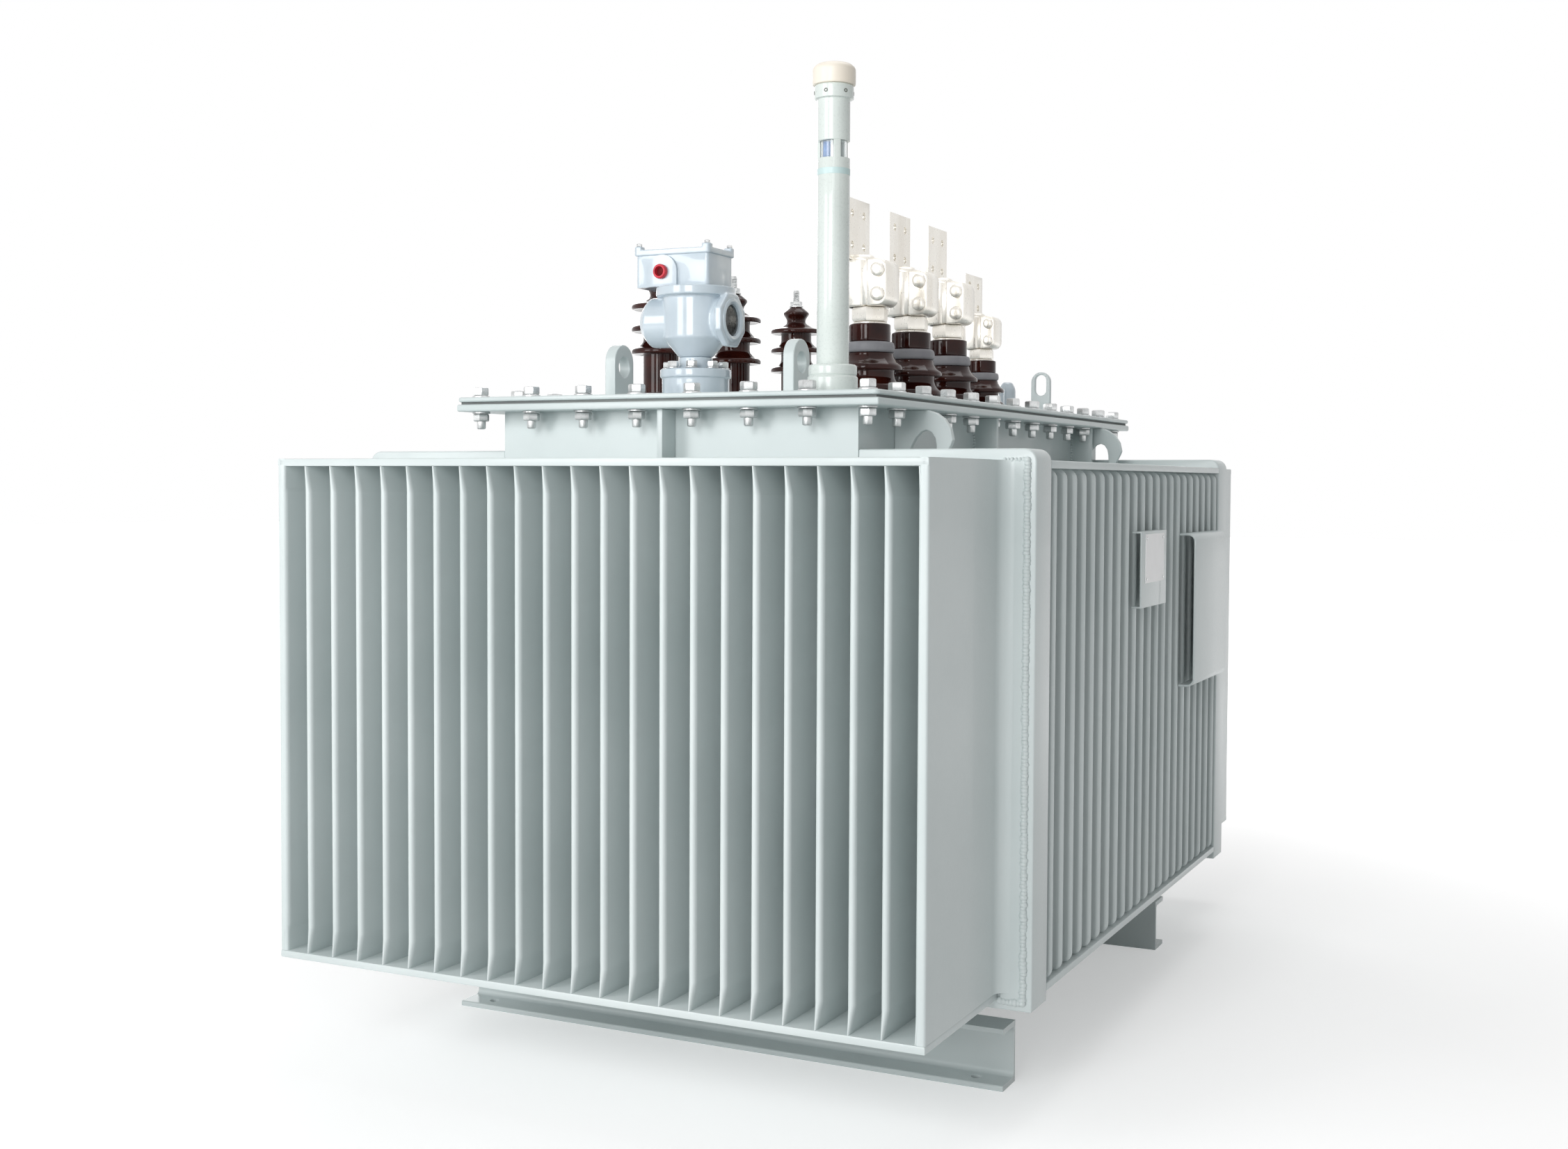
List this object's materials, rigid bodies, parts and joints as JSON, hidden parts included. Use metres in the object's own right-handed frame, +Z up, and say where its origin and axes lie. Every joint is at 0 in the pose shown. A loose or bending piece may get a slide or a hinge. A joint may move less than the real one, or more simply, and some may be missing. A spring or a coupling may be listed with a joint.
{
  "type": "oil filled power transformer",
  "caption": "Oil filled power transformer: tank with corrugated cooling fins on every side, brown porcelain bushings, gas relay and oil gauge on the lid, on two base channels.",
  "frame": {"origin": "on the ground under the middle of the tank, at the centre of the base bolt holes", "axes": "+X to the right of the front end, +Y towards the rear end along the tank, +Z up"},
  "size_m": [1.258, 1.898, 1.6195],
  "materials": {
    "grey_paint": "satin pale grey enamel",
    "relay_paint": "satin pale blue grey enamel",
    "gauge_paint": "satin pale green grey enamel",
    "gauge_cream": "cream moulded",
    "brown_glaze": "gloss brown glaze",
    "zinc_steel": "zinc plated",
    "tinned_metal": "tin plated, dull",
    "gasket_rubber": "black, matte",
    "grey_gasket": "grey, matte",
    "clear_glass": "clear",
    "red_plastic": "moulded red",
    "label_plate": "bare, blank"
  },
  "bodies": {
    "root": {"front_base_channel": "grey_paint", "rear_base_channel": "grey_paint", "tank_floor": "grey_paint", "front_wall": "grey_paint", "rear_wall": "grey_paint", "left_wall": "grey_paint", "right_wall": "grey_paint", "front_headers": "grey_paint", "rear_headers": "grey_paint", "front_fins": "grey_paint", "rear_fins": "grey_paint", "left_fins": "grey_paint", "right_fins": "grey_paint", "fin_top_plates": "grey_paint", "fin_bottom_plates": "grey_paint", "tank_flange": "grey_paint", "lid": "grey_paint", "neck_ribs": "grey_paint", "lifting_hooks": "grey_paint", "lid_lifting_lugs": "grey_paint", "lid_gasket": "gasket_rubber", "hv_bushing_a": "brown_glaze", "hv_bushing_b": "brown_glaze", "hv_bushing_c": "brown_glaze", "hv_clamp_rings": "zinc_steel", "hv_studs": "tinned_metal", "lv_bushing_a": "brown_glaze", "lv_bushing_b": "brown_glaze", "lv_bushing_c": "brown_glaze", "lv_bushing_n": "brown_glaze", "lv_gaskets": "grey_gasket", "lv_nuts": "tinned_metal", "lv_clamps": "tinned_metal", "lv_palms": "tinned_metal", "relay_riser": "relay_paint", "relay_body": "relay_paint", "relay_sight_glass": "clear_glass", "relay_terminal_box": "relay_paint", "relay_box_lid": "relay_paint", "relay_cable_plug": "red_plastic", "gauge_base": "gauge_paint", "gauge_tube": "gauge_paint", "gauge_head": "gauge_paint", "gauge_glass": "clear_glass", "gauge_cap": "gauge_cream", "rating_plate_holder": "grey_paint", "side_bracket": "grey_paint", "rating_plate": "label_plate"}
  },
  "joints": []
}
